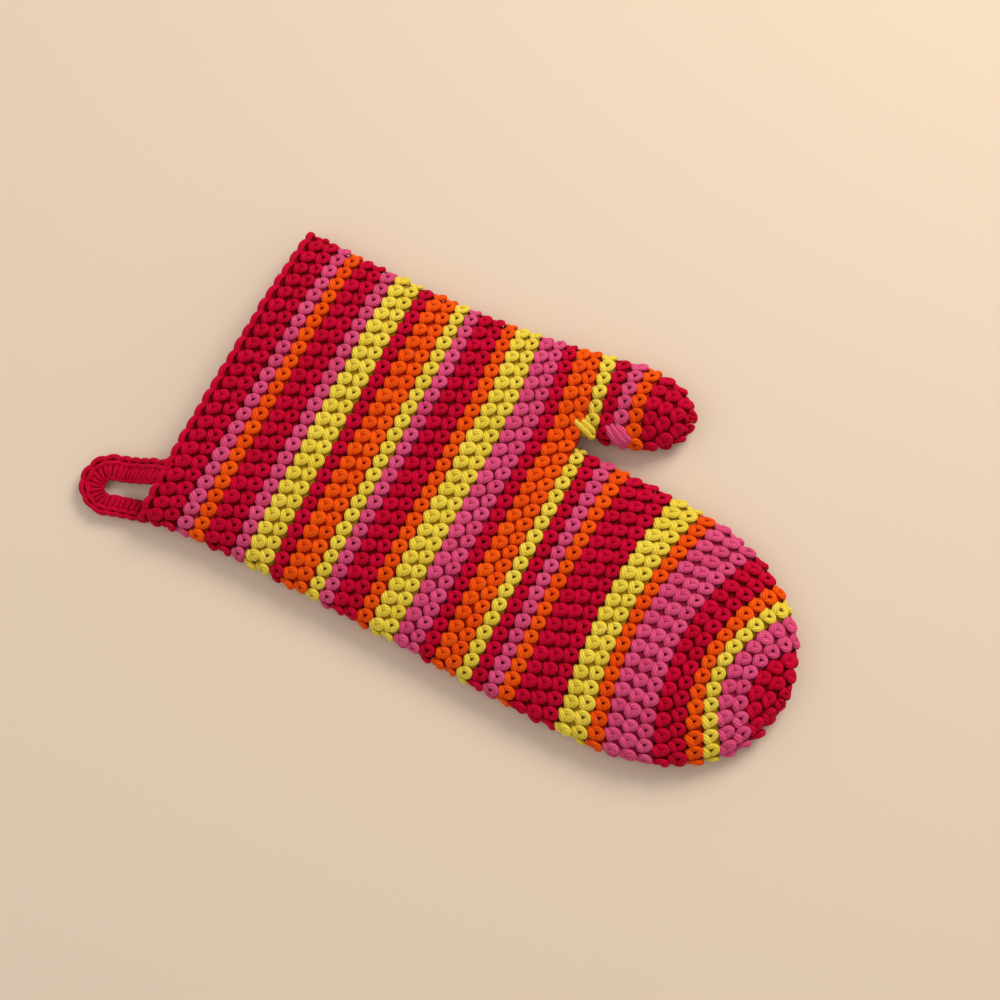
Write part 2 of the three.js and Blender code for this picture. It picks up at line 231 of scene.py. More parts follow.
class Fabric:
    """The mid surface of one part of the mitt, looked up by round and by share of the way round."""

    COLUMNS = 480
    ROWS_PER_ROUND = 4
    SAMPLES = 180

    def __init__(self, ends, places, first, last):
        self.first = first
        count = int(round((last - first) * self.ROWS_PER_ROUND)) + 1
        rows = [self.row(ends, places, r) for r in np.linspace(first, last, count)]
        self.points = np.array([r[0] for r in rows])
        self.normals = np.array([r[1] for r in rows])
        self.lengths = np.array([r[2] for r in rows])

    def row(self, ends, places, rounds):
        """Evenly spaced points and outward ways once round the mitt, and the length round it."""
        high, low = ends(rounds)
        angle = np.linspace(0, math.pi, self.SAMPLES)
        across = (high + low) / 2 + (high - low) / 2 * np.cos(angle)
        position, depth, out = places(rounds, across)
        front, front_normal = lift(position, depth, out, 1)
        back, back_normal = lift(position[::-1], depth[::-1], out[::-1], -1)
        points = np.vstack([front, back[1:]])
        normals = np.vstack([front_normal, back_normal[1:]])
        steps = np.linalg.norm(np.diff(points, axis=0), axis=1)
        run = np.concatenate([[0], np.cumsum(steps)])
        share = np.linspace(0, run[-1], self.COLUMNS + 1)
        even = np.stack([np.interp(share, run, points[:, i]) for i in range(3)], -1)
        ways = np.stack([np.interp(share, run, normals[:, i]) for i in range(3)], -1)
        return even, ways, run[-1]

    def around(self, rounds):
        """The length of the fabric round the mitt at a round."""
        at = (rounds - self.first) * self.ROWS_PER_ROUND
        return float(np.interp(at, np.arange(len(self.lengths)), self.lengths))

    def place_over(self, x, y):
        """The round and the share round the mitt of the front's point over (x, y)."""
        front = self.points[:, :self.COLUMNS // 2]
        away = np.hypot(front[..., 0] - x, front[..., 1] - y)
        row, column = np.unravel_index(away.argmin(), away.shape)
        return self.first + row / self.ROWS_PER_ROUND, column / self.COLUMNS

    def warp(self, cloth):
        """Cloth coordinates (round, share round the mitt, height) to points in the frame."""
        row = (cloth[:, 0] - self.first) * self.ROWS_PER_ROUND
        row = np.clip(row, 0, len(self.points) - 1.001)
        column = (cloth[:, 1] % 1.0) * self.COLUMNS
        i, j = row.astype(int), np.minimum(column.astype(int), self.COLUMNS - 1)
        v, u = (row - i)[:, None], (column - j)[:, None]

        def between(grid):
            near = grid[i, j] * (1 - u) + grid[i, j + 1] * u
            far = grid[i + 1, j] * (1 - u) + grid[i + 1, j + 1] * u
            return near * (1 - v) + far * v

        normal = between(self.normals)
        normal = normal / np.linalg.norm(normal, axis=1)[:, None]
        return to_frame(between(self.points) + normal * cloth[:, 2:3])


FABRIC_MARGIN = 1       # rounds by which a fabric is made longer than its stripes


def tube_fabric(spec):
    outline = tip_outline(spec)

    def ends(rounds):
        half = edge_point(spec, outline, rounds)[1]
        return half, -half

    def places(rounds, across):
        return tube_places(spec, rounds, across)

    return Fabric(ends, places, -FABRIC_MARGIN, spec["rounds"])


hand_fabric = Fabric(hand_ends, hand_places, -FABRIC_MARGIN, HAND_ROUNDS + FABRIC_MARGIN)
finger_fabric = tube_fabric(FINGERS)
thumb_fabric = tube_fabric(THUMB)

# ---- Yarn: a rod bent along a path ----

def along_path(points, share):
    """A smooth curve through points (Catmull-Rom), at shares from 0 to 1 of the way."""
    points = np.array(points, float)
    padded = np.vstack([2 * points[0] - points[1], points, 2 * points[-1] - points[-2]])
    at = np.clip(share, 0, 1) * (len(points) - 1)
    i = np.minimum(at.astype(int), len(points) - 2)
    t = (at - i)[:, None]
    p0, p1, p2, p3 = (padded[i + k] for k in range(4))
    return 0.5 * (2 * p1 + (p2 - p0) * t + (2 * p0 - 5 * p1 + 4 * p2 - p3) * t ** 2
                  + (3 * p1 - p0 - 3 * p2 + p3) * t ** 3)


HEXAGON_LOSS = 0.87     # how much of its radius a six-sided rod keeps when it is rounded
LENGTH_STEPS = 33       # points at which a path is measured
PATH_STEP = 0.01        # share of a path over which its direction is taken
TAPER_POWER = 0.6


def yarn_rod(name, path, radius, cuts, sides=6, flat=0.9, ends=0.7):
    """A length of yarn along path, in millimetres, thinner at its ends, with a uv map on it."""
    bm = bmesh.new()
    bmesh.ops.create_cone(bm, cap_ends=True, segments=sides, radius1=1, radius2=1, depth=1)
    long_edges = [e for e in bm.edges if abs(e.verts[0].co.z - e.verts[1].co.z) > 0.5]
    bmesh.ops.subdivide_edges(bm, edges=long_edges, cuts=cuts)
    uv = bm.loops.layers.uv.new("yarn")
    measured = along_path(path, np.linspace(0, 1, LENGTH_STEPS))
    steps = np.linalg.norm(np.diff(measured, axis=0), axis=1)
    length = float(steps.sum())
    for face in bm.faces:
        middle = face.calc_center_median()
        middle_angle = math.atan2(middle.y, middle.x)
        for loop in face.loops:
            co = loop.vert.co
            turn = math.atan2(co.y, co.x) - middle_angle
            turn = (turn + math.pi) % (2 * math.pi) - math.pi
            loop[uv].uv = ((co.z + 0.5) * length, (middle_angle + turn) / (2 * math.pi))
    bend_rod(bm, path, radius / HEXAGON_LOSS, flat, ends)
    mesh = bpy.data.meshes.new(name)
    bm.to_mesh(mesh)
    bm.free()
    return mesh


def bend_rod(bm, path, radius, flat, ends):
    """Bends an upright rod of unit size along a path."""
    share = np.array([v.co.z + 0.5 for v in bm.verts])
    centre = along_path(path, share)
    tangent = along_path(path, share + PATH_STEP) - along_path(path, share - PATH_STEP)
    tangent /= np.linalg.norm(tangent, axis=1)[:, None]
    up = np.array([0.0, 0.0, 1.0])
    side = np.cross(up, tangent)
    side /= np.maximum(np.linalg.norm(side, axis=1)[:, None], 1e-6)
    over = np.cross(tangent, side)
    taper = ends + (1 - ends) * np.sin(np.pi * np.clip(share, 0.0, 1)) ** TAPER_POWER
    for i, vert in enumerate(bm.verts):
        across = side[i] * vert.co.x + over[i] * vert.co.y * flat
        vert.co = Vector(centre[i] + across * radius * taper[i])


# One single crochet, seen from outside: two legs that lie close together and join in an
# arch, and beside them the part of the stitch that shows between the loops of the next
# round. Their paths are drawn level, and the whole stitch leans towards the thumb's side.
STITCH_TURN = math.radians(27)
LEG_RADIUS = 1.45
FULL_LEG_RADIUS = 1.65
BUMP_RADIUS = 1.7
LEGS_PATH = [
    (-2.9, 1.6, -1.5), (-2.0, 1.85, -0.1), (-1.0, 1.9, 0.95), (0.2, 1.65, 1.4),
    (1.15, 0.8, 1.5), (1.15, -0.5, 1.5), (0.25, -1.4, 1.4), (-1.1, -1.75, 1.0),
    (-2.2, -1.9, 0.0), (-3.1, -1.9, -1.5),
]
BUMP_PATH = [
    (-2.7, 2.6, -1.3), (-2.95, 1.5, 0.8), (-3.2, -0.3, 1.55), (-3.25, -2.1, 0.8),
    (-2.9, -3.3, -1.3),
]


def turned_path(path, angle):
    cos, sin = math.cos(angle), math.sin(angle)
    return [(a * cos - b * sin, a * sin + b * cos, h) for a, b, h in path]


def joined(name, meshes):
    """Several lengths of yarn as one mesh."""
    bm = bmesh.new()
    for mesh in meshes:
        bm.from_mesh(mesh)
    whole = bpy.data.meshes.new(name)
    bm.to_mesh(whole)
    bm.free()
    return whole


bump = yarn_rod("stitch_bump", turned_path(BUMP_PATH, STITCH_TURN), BUMP_RADIUS, cuts=2)
legs = yarn_rod("stitch_legs", turned_path(LEGS_PATH, STITCH_TURN), LEG_RADIUS, cuts=7)
stitch = joined("stitch", [legs, bump])

# Where the next round is of the same colour, its yarn fills the opening between the legs,
# so there the legs show closer together and fuller.
FULL_LEGS_CLOSENESS = 0.8
FULL_LEGS_PATH = [(a, FULL_LEGS_CLOSENESS * b, h) for a, b, h in LEGS_PATH]
full_legs = yarn_rod("full_stitch_legs", turned_path(FULL_LEGS_PATH, STITCH_TURN),
                     FULL_LEG_RADIUS, cuts=7)
full_stitch = joined("full_stitch", [full_legs, bump])

# On the inside each stitch shows as two short bars across the round.
BAR_RADIUS = 1.5
BAR_SPREAD = 1.5        # each bar's distance from the middle of its round
BAR_OFFSET = 1.2        # how far the second bar lies beside the first one
INNER_BAR = [
    (-0.5, -3.4, -1.2), (0.2, -1.6, -2.0), (0.4, 0.2, -2.2), (0.2, 1.9, -2.0), (-0.5, 3.4, -1.2),
]
near_bar = [(a - BAR_SPREAD, b, h) for a, b, h in INNER_BAR]
far_bar = [(a + BAR_SPREAD, b + BAR_OFFSET, h) for a, b, h in INNER_BAR]
inner_bars = joined("inner_bars", [
    yarn_rod("inner_bar_near", near_bar, BAR_RADIUS, cuts=3),
    yarn_rod("inner_bar_far", far_bar, BAR_RADIUS, cuts=3),
])

# One link of the slip-stitched edge: a leg on the outside and a leg on the inside.
EDGE_LINK_RADIUS = 1.5
LINK_OUTER = [
    (0.6, -1.2, -0.6), (-0.5, 0.6, 0.6), (-1.0, 3.0, 1.35), (-0.7, 5.4, 1.0), (0.4, 7.6, -0.3),
]
LINK_INNER = [
    (0.6, -1.2, -0.6), (-0.5, 0.6, -1.4), (-1.0, 3.0, -2.0), (-0.7, 5.4, -1.8), (0.4, 7.6, -0.7),
]
edge_link = joined("edge_link", [
    yarn_rod("link_outer", LINK_OUTER, EDGE_LINK_RADIUS, cuts=7),
    yarn_rod("link_inner", LINK_INNER, EDGE_LINK_RADIUS, cuts=7),
])


# ---- Laying stitches on the fabric ----

chance = random.Random(7)
SHADOW_TONE = 0.1              # the tone that paints yarn in its shadow colour: painted shade on the backing and the loop's core
SIZE_SPREAD = 0.06      # how much hand-made stitches differ in size, turn and place
TURN_SPREAD = 0.1
PLACE_SPREAD = 0.2
BACKING_COLUMNS = 96
BACKING_ROWS = 3        # in each round
MERGE_DISTANCE = 0.05   # points of the backing nearer than this are one point
SHORTEST_EDGE = 0.02


def new_cloth():
    """An empty cloth whose points carry a tone: a low tone is painted shade in the yarn's shadow colour, a
    high tone is light.
    """
    bm = bmesh.new()
    bm.verts.layers.float.new("tone")
    bm.loops.layers.uv.new("yarn")
    return bm


def lay(bm, yarn, matrix, tone, shake=1.0):
    """A copy of a piece of yarn, moved by matrix from millimetres to cloth coordinates."""
    first = len(bm.verts)
    bm.from_mesh(yarn)
    bm.verts.ensure_lookup_table()
    tones = bm.verts.layers.float["tone"]
    grow = Matrix.Scale(1 + shake * chance.uniform(-SIZE_SPREAD, SIZE_SPREAD), 4)
    turn = Matrix.Rotation(shake * chance.uniform(-TURN_SPREAD, TURN_SPREAD), 4, "Z")
    step = [shake * chance.uniform(-PLACE_SPREAD, PLACE_SPREAD) for _ in range(3)]
    shift = Matrix.Translation(step)
    fresh = bm.verts[first:]
    bmesh.ops.transform(bm, matrix=matrix @ shift @ turn @ grow, verts=fresh)
    for vert in fresh:
        vert[tones] = tone


def turn_outward(bm):
    """Every piece of yarn with its faces pointing out, also the mirrored ones."""
    bmesh.ops.recalc_face_normals(bm, faces=bm.faces)


def on_round(rounds, share, stitches):
    """Puts a stitch at a round, and at a share of the way round the mitt."""
    scale = Matrix.Diagonal((1 / ROUND_PITCH, -1 / STITCH_WIDTH / stitches, 1, 1))
    return Matrix.Translation((rounds, share, 0)) @ scale


def backing(bm, first, last, columns):
    """The body of the fabric behind the stitches, in cloth coordinates, as a flat sheet in the painted
    shadow tone.
    """
    rows = max(2, int(round((last - first) * BACKING_ROWS)))
    made = bmesh.ops.create_grid(bm, x_segments=rows, y_segments=columns, size=0.5)
    tones = bm.verts.layers.float["tone"]
    for vert in made["verts"]:
        along = first + (last - first) * (vert.co.x + 0.5)
        vert.co = (along, vert.co.y + 0.5, 0.0)
        # Painted shade: the backing takes the yarn's shadow colour, so the gaps between the stitches look
        # dark.
        vert[tones] = SHADOW_TONE


def warped(bm, fabric, name):
    """The cloth in bm, worked onto the mitt as a new mesh."""
    mesh = bpy.data.meshes.new(name)
    bm.to_mesh(mesh)
    bm.free()
    cloth = np.empty(len(mesh.vertices) * 3, np.float32)
    mesh.vertices.foreach_get("co", cloth)
    mesh.vertices.foreach_set("co", fabric.warp(cloth.reshape(-1, 3).astype(float)).ravel())
    mesh.update()
    return mesh


def backing_mesh(fabric, first, last, name):
    """The body of the fabric between two rounds, with its real thickness."""
    bm = new_cloth()
    backing(bm, first, last, BACKING_COLUMNS)
    mesh = warped(bm, fabric, name)
    bm = bmesh.new()
    bm.from_mesh(mesh)
    bmesh.ops.remove_doubles(bm, verts=bm.verts, dist=MERGE_DISTANCE * MM)
    bmesh.ops.dissolve_degenerate(bm, edges=bm.edges, dist=SHORTEST_EDGE * MM)
    bmesh.ops.reverse_faces(bm, faces=bm.faces)
    bmesh.ops.solidify(bm, geom=bm.faces[:], thickness=(WALL - SKIN) * MM)
    bm.to_mesh(mesh)
    bm.free()
    return mesh


def piece(name, meshes, material):
    """One object from several meshes, smooth and finished by one round of subdivision."""
    bm = new_cloth()
    for mesh in meshes:
        bm.from_mesh(mesh)
    whole = bpy.data.meshes.new(name)
    bm.to_mesh(whole)
    bm.free()
    whole.materials.append(material)
    whole.polygons.foreach_set("use_smooth", [True] * len(whole.polygons))
    obj = bpy.data.objects.new(name, whole)
    bpy.context.scene.collection.objects.link(obj)
    rounding = obj.modifiers.new("rounding", "SUBSURF")
    rounding.levels = 1
    rounding.render_levels = 1
    return obj


FEWEST_STITCHES = 6     # in the ring that closes a tip
STITCH_PLACE = 0.55     # where the middle of a stitch lies in its round
LAST_PLACE = 0.45       # how far before the end of a tip its last stitches lie


def stitch_count(fabric, rounds):
    return max(FEWEST_STITCHES, round(fabric.around(rounds) / STITCH_WIDTH))


def work_stripe(name, fabric, first, rounds, last_round, material, inside):
    """One colour stripe: its stitches, the backs of them if they show, and its backing."""
    bm = new_cloth()
    for k in range(first, first + rounds):
        middle = min(k + STITCH_PLACE, last_round - LAST_PLACE)
        count = stitch_count(fabric, middle)
        phase = (STITCH_LEAN * k) % 1
        shown = stitch if k == first + rounds - 1 else full_stitch
        for i in range(count):
            tone = chance.uniform(0.35, 1.0)
            lay(bm, shown, on_round(middle, (i + phase) / count, count), tone)
            if inside:
                lay(bm, inner_bars, on_round(middle, (i + phase + 0.5) / count, count), tone)
    stitches = warped(bm, fabric, name + "_stitches")
    body = backing_mesh(fabric, first, min(first + rounds, last_round), name + "_backing")
    obj = piece(name + "_yarn", [stitches, body], material)
    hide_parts(name)
    return obj


# ---- Yarn finishes ----

PLIES = 7.0
TWIST_PER_MM = 0.045
GROOVE_SHARPNESS = 0.45
FIBRE_SIZE = 2600.0
FIBRE_DETAIL = 3
SHADE_SIZE = 420
SHADE_DETAIL = 2
TONE_WEIGHT = 0.75      # how much a stitch's own tone and the yarn's clouds lighten it
SHADE_WEIGHT = 0.45
BRIGHTNESS_START = 0.15
SHADOW_TONE_LIMIT = 0.3        # yarn with a lower tone than this is painted in the shadow colour as painted shade
SHADOW_WEIGHT = 0.8
GROOVE_SHADE_WEIGHT = 0.55
FIBRE_HEIGHT = 0.5
COTTON_ROUGHNESS = 0.82
COTTON_SHINE = 0.08
SHEEN_ROUGHNESS = 0.5
RELIEF_STRENGTH = 0.6
RELIEF_DEPTH = 0.5      # millimetres


def socket(group, name, kind, direction, value=None):
    made = group.interface.new_socket(name, in_out=direction, socket_type=kind)
    if value is not None:
        made.default_value = value
    return made


def add(tree, kind, **values):
    node = tree.nodes.new(kind)
    for key, value in values.items():
        setattr(node, key, value)
    return node


def maths(tree, operation, first, second=None):
    node = add(tree, "ShaderNodeMath", operation=operation)
    for place, value in ((0, first), (1, second)):
        if value is None:
            continue
        if isinstance(value, (int, float)):
            node.inputs[place].default_value = value
        else:
            tree.links.new(value, node.inputs[place])
    return node.outputs[0]


def build_ply_twist():
    """Plies wound round each other: their height and a shadow mask between them."""
    group = bpy.data.node_groups.new("ply_twist", "ShaderNodeTree")
    socket(group, "Plies", "NodeSocketFloat", "INPUT", PLIES)
    socket(group, "Twist per mm", "NodeSocketFloat", "INPUT", TWIST_PER_MM)
    socket(group, "Height", "NodeSocketFloat", "OUTPUT")
    socket(group, "Groove shade", "NodeSocketFloat", "OUTPUT")
    inputs = add(group, "NodeGroupInput")
    outputs = add(group, "NodeGroupOutput")
    uv = add(group, "ShaderNodeUVMap", uv_map="yarn")
    split = add(group, "ShaderNodeSeparateXYZ")
    group.links.new(uv.outputs["UV"], split.inputs[0])
    turns = maths(group, "MULTIPLY", split.outputs["Y"], inputs.outputs["Plies"])
    wound = maths(group, "MULTIPLY", split.outputs["X"], inputs.outputs["Twist per mm"])
    wound = maths(group, "MULTIPLY", wound, inputs.outputs["Plies"])
    phase = maths(group, "MULTIPLY", maths(group, "ADD", turns, wound), math.pi)
    ridge = maths(group, "ABSOLUTE", maths(group, "SINE", phase))
    group.links.new(ridge, outputs.inputs["Height"])
    groove_shade = maths(group, "SUBTRACT", 1.0, maths(group, "POWER", ridge, GROOVE_SHARPNESS))
    group.links.new(groove_shade, outputs.inputs["Groove shade"])
    return group


def build_cotton_fibre():
    """Fine fibres along the yarn and slow changes of shade in it."""
    group = bpy.data.node_groups.new("cotton_fibre", "ShaderNodeTree")
    socket(group, "Fibre size", "NodeSocketFloat", "INPUT", FIBRE_SIZE)
    socket(group, "Height", "NodeSocketFloat", "OUTPUT")
    socket(group, "Shade", "NodeSocketFloat", "OUTPUT")
    inputs = add(group, "NodeGroupInput")
    outputs = add(group, "NodeGroupOutput")
    place = add(group, "ShaderNodeTexCoord")
    fibre = add(group, "ShaderNodeTexNoise")
    group.links.new(place.outputs["Object"], fibre.inputs["Vector"])
    group.links.new(inputs.outputs["Fibre size"], fibre.inputs["Scale"])
    fibre.inputs["Detail"].default_value = FIBRE_DETAIL
    cloud = add(group, "ShaderNodeTexNoise")
    group.links.new(place.outputs["Object"], cloud.inputs["Vector"])
    cloud.inputs["Scale"].default_value = SHADE_SIZE
    cloud.inputs["Detail"].default_value = SHADE_DETAIL
    group.links.new(fibre.outputs["Fac"], outputs.inputs["Height"])
    group.links.new(cloud.outputs["Fac"], outputs.inputs["Shade"])
    return group


PLY_TWIST = build_ply_twist()
COTTON_FIBRE = build_cotton_fibre()


def mixed(tree, factor, first, second):
    node = add(tree, "ShaderNodeMix", data_type="RGBA", blend_type="MIX")
    for index, value in ((0, factor), (6, first), (7, second)):
        if isinstance(value, (int, float)):
            node.inputs[index].default_value = value
        elif isinstance(value, tuple):
            node.inputs[index].default_value = (*value, 1)
        else:
            tree.links.new(value, node.inputs[index])
    return node.outputs[2]


def linear(red, green, blue):
    """A colour given as it looks, 0 to 255, as the shader's linear values."""
    def one(value):
        value /= 255
        return value / 12.92 if value <= 0.04045 else ((value + 0.055) / 1.055) ** 2.4
    return one(red), one(green), one(blue)


def yarn_material(name, painted_shadow, middle, light, sheen):
    """Cotton yarn, from its painted shadow colour, put between its plies and on the low-toned backing, to
    the colour of its lightest parts.
    """
    material = bpy.data.materials.new(name)
    material.use_nodes = True
    tree = material.node_tree
    shader = tree.nodes["Principled BSDF"]
    plies = add(tree, "ShaderNodeGroup", node_tree=PLY_TWIST)
    fibre = add(tree, "ShaderNodeGroup", node_tree=COTTON_FIBRE)
    tone = add(tree, "ShaderNodeAttribute", attribute_name="tone")
    toned = maths(tree, "MULTIPLY", tone.outputs["Fac"], TONE_WEIGHT)
    shaded = maths(tree, "MULTIPLY", fibre.outputs["Shade"], SHADE_WEIGHT)
    brightness = maths(tree, "SUBTRACT", maths(tree, "ADD", toned, shaded), BRIGHTNESS_START)
    lit = mixed(tree, brightness, middle, light)
    # Painted shade: yarn with a tone below the limit (the backing and the loop's core) is mixed towards the
    # shadow colour.
    shadow_mask = maths(tree, "LESS_THAN", tone.outputs["Fac"], SHADOW_TONE_LIMIT)
    lit = mixed(tree, maths(tree, "MULTIPLY", shadow_mask, SHADOW_WEIGHT), lit, painted_shadow)
    # Painted shade between the plies: the grooves are darkened towards the shadow colour.
    groove_shade = maths(tree, "MULTIPLY", plies.outputs["Groove shade"], GROOVE_SHADE_WEIGHT)
    tree.links.new(mixed(tree, groove_shade, lit, painted_shadow), shader.inputs["Base Color"])
    shader.inputs["Roughness"].default_value = COTTON_ROUGHNESS
    shader.inputs["Specular IOR Level"].default_value = COTTON_SHINE
    shader.inputs["Sheen Weight"].default_value = sheen
    shader.inputs["Sheen Roughness"].default_value = SHEEN_ROUGHNESS
    fuzz = maths(tree, "MULTIPLY", fibre.outputs["Height"], FIBRE_HEIGHT)
    relief = add(tree, "ShaderNodeBump")
    relief.inputs["Strength"].default_value = RELIEF_STRENGTH
    relief.inputs["Distance"].default_value = RELIEF_DEPTH * MM
    height = maths(tree, "ADD", plies.outputs["Height"], fuzz)
    tree.links.new(height, relief.inputs["Height"])
    tree.links.new(relief.outputs["Normal"], shader.inputs["Normal"])
    return material


# Each yarn: its painted shadow colour, its middle colour, its lightest colour and its sheen weight.
YARN = {
    "crimson": yarn_material("crimson_yarn", linear(100, 0, 8), linear(180, 0, 32),
                             linear(206, 2, 56), 0.0),
    "pink": yarn_material("pink_yarn", linear(134, 18, 52), linear(204, 56, 104),
                          linear(226, 86, 136), 0.05),
    "orange": yarn_material("orange_yarn", linear(156, 28, 0), linear(230, 66, 0),
                            linear(244, 96, 4), 0.02),
    "yellow": yarn_material("yellow_yarn", linear(146, 112, 2), linear(222, 194, 40),
                            linear(240, 216, 76), 0.08),
}

# ---- The stripes ----

HAND_STRIPES = [
    ("crimson", 2), ("pink", 1), ("orange", 1), ("crimson", 2), ("pink", 1), ("yellow", 2),
    ("crimson", 1), ("orange", 2), ("yellow", 1), ("pink", 1), ("crimson", 2), ("orange", 1),
    ("yellow", 2), ("pink", 2), ("crimson", 1), ("orange", 2),
]
FINGER_STRIPES = [
    ("yellow", 1), ("crimson", 1), ("pink", 1), ("orange", 1), ("crimson", 3), ("yellow", 2),
    ("orange", 1), ("pink", 3), ("crimson", 2), ("orange", 1), ("yellow", 1), ("pink", 2),
    ("crimson", 3),
]
THUMB_STRIPES = [("yellow", 1), ("crimson", 1), ("pink", 1), ("orange", 1), ("crimson", 4)]
INSIDE_ROUNDS = 8       # rounds whose inside shows through the cuff


def work_part(label, fabric, stripes, last_round, tipped, inside_rounds=0):
    """All stripes of one part, each with the rounds where it begins and ends."""
    made = []
    first = 0
    for index, (colour, rounds) in enumerate(stripes):
        tip = "_tip" if tipped and index == len(stripes) - 1 else ""
        name = f"{label}_{index + 1:02d}_{colour}{tip}"
        inside = first < inside_rounds
        obj = work_stripe(name, fabric, first, rounds, last_round, YARN[colour],
                          inside)
        made.append((first, first + rounds, obj))
        first += rounds
    return made


hand_pieces = work_part("hand_stripe", hand_fabric, HAND_STRIPES, HAND_ROUNDS, False, INSIDE_ROUNDS)
finger_pieces = work_part("finger_stripe", finger_fabric, FINGER_STRIPES, FINGERS["rounds"], True)
thumb_pieces = work_part("thumb_stripe", thumb_fabric, THUMB_STRIPES, THUMB["rounds"], True)


EDGE_LINK_PLACE = 0.15  # in rounds, from the cuff's end
EDGE_BACKING_PLACE = 0.1


def work_edging():
    bm = new_cloth()
    first = -EDGING_DEPTH / ROUND_PITCH
    count = stitch_count(hand_fabric, first)
    for i in range(count):
        tone = chance.uniform(0.5, 1.0)
        at = on_round(first + EDGE_LINK_PLACE, i / count, count)
        lay(bm, edge_link, at, tone, shake=0.5)
    links = warped(bm, hand_fabric, "edging_links")
    body = backing_mesh(hand_fabric, first + EDGE_BACKING_PLACE, 0, "edging_backing")
    obj = piece("cuff_edging_yarn", [links, body], YARN["crimson"])
    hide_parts("cuff_edging")
    return obj


edging = work_edging()

# ---- The hanging loop ----

class Strap:
    """The loop's strap: run from the cuff's front round the eye and back, across, and height."""

    MIDDLE = (LOOP["outer"] + LOOP["eye"]) / 2      # radius of the strap's middle line
    HALF_WIDTH = (LOOP["outer"] - LOOP["eye"]) / 2
    LOWER_SHARE = (LOOP["lower"] - LOOP["eye"]) / (LOOP["outer"] - LOOP["eye"])
    FRONT_ROOT = -1.5       # where the strap meets the edging, along the mitt
    BACK_ROOT = -2.5
    RISE = 13.0             # from the strap's level up to the front of the cuff
    RISE_RUN = 20.0
    RISE_TILT = 0.2         # the rising strap also leans to its outer side

    def __init__(self):
        self.slope = math.tan(LOOP["angle"])
        cos, sin = math.cos(LOOP["angle"]), math.sin(LOOP["angle"])
        self.upper = (self.FRONT_ROOT - LOOP["x"] + self.MIDDLE * sin) / cos
        self.arc = math.pi * self.MIDDLE
        self.lower = (self.BACK_ROOT - LOOP["x"] - self.MIDDLE * self.LOWER_SHARE * sin) / cos
        self.length = self.upper + self.arc + self.lower

    def surface(self, run, across):
        """Points of the strap's middle surface, in the mitt's own millimetres."""
        turn = np.clip((run - self.upper) / self.MIDDLE, 0, math.pi)
        later = np.clip(turn / math.pi * 2 - 1, 0, 1)
        width = 1 - (1 - self.LOWER_SHARE) * later
        radius = LOOP["eye"] + (across + self.HALF_WIDTH) * width
        ahead = np.maximum(0, self.upper - run)
        behind = np.maximum(0, run - self.upper - self.arc)
        u = ahead * (1 + across * self.slope / self.upper)
        u = u + behind * (1 - across * width * self.slope / self.lower) - radius * np.sin(turn)
        v = radius * np.cos(turn)
        cos, sin = math.cos(LOOP["angle"]), math.sin(LOOP["angle"])
        climb = np.clip(1 - run / self.RISE_RUN, 0, 1)
        climb = climb * climb * (3 - 2 * climb)
        z = LOOP["thickness"] / 2 + (self.RISE + self.RISE_TILT * across) * climb
        return np.stack([LOOP["x"] + u * cos - v * sin, LOOP["y"] + u * sin + v * cos, z], -1)

    def warp(self, cloth):
        run, across = cloth[:, 0], cloth[:, 1]
        step = 0.1
        onward = self.surface(run + step, across) - self.surface(run - step, across)
        outward = self.surface(run, across + step) - self.surface(run, across - step)
        up = np.cross(outward, onward)
        up = up / np.linalg.norm(up, axis=1)[:, None]
        return to_frame(self.surface(run, across) + up * cloth[:, 2:3])


LINK_PITCH = 4.7
LINK_RADIUS = 1.25
LINK_PLACE = (3.3, 1.1)         # across the strap and up from its middle, for a rim link
LINK_LEG = [(-0.6, 0.2, -0.4), (0.9, 1.15, 0.5), (2.9, 1.5, 0.75), (5.1, 0.5, 0.0)]
RIB_RADIUS = 1.15
RIB_SHARES = (0.25, 0.75)       # two ribs to each link
RIB_PATH = [
    (-0.5, 1.8, 0.3), (-0.3, 0.9, 1.3), (0.1, -1.5, 1.6), (0.4, -3.8, 1.2), (0.5, -5.0, 0.1),
]
EYE_LINK_PLACE = (-4.4, 0.2)
EYE_LINK = [
    (-0.8, 0.2, -0.5), (0.9, -0.2, 0.3), (2.6, -0.2, 0.4), (4.3, 0.1, 0.1), (5.4, 0.3, -0.6),
]
CORE_RADIUS = 4.6
CORE_FLATNESS = 0.28
CORE_INSET = 0.5
LOOP_SHAKE = 0.7


def mirrored(path):
    return [(a, -b, h) for a, b, h in path]


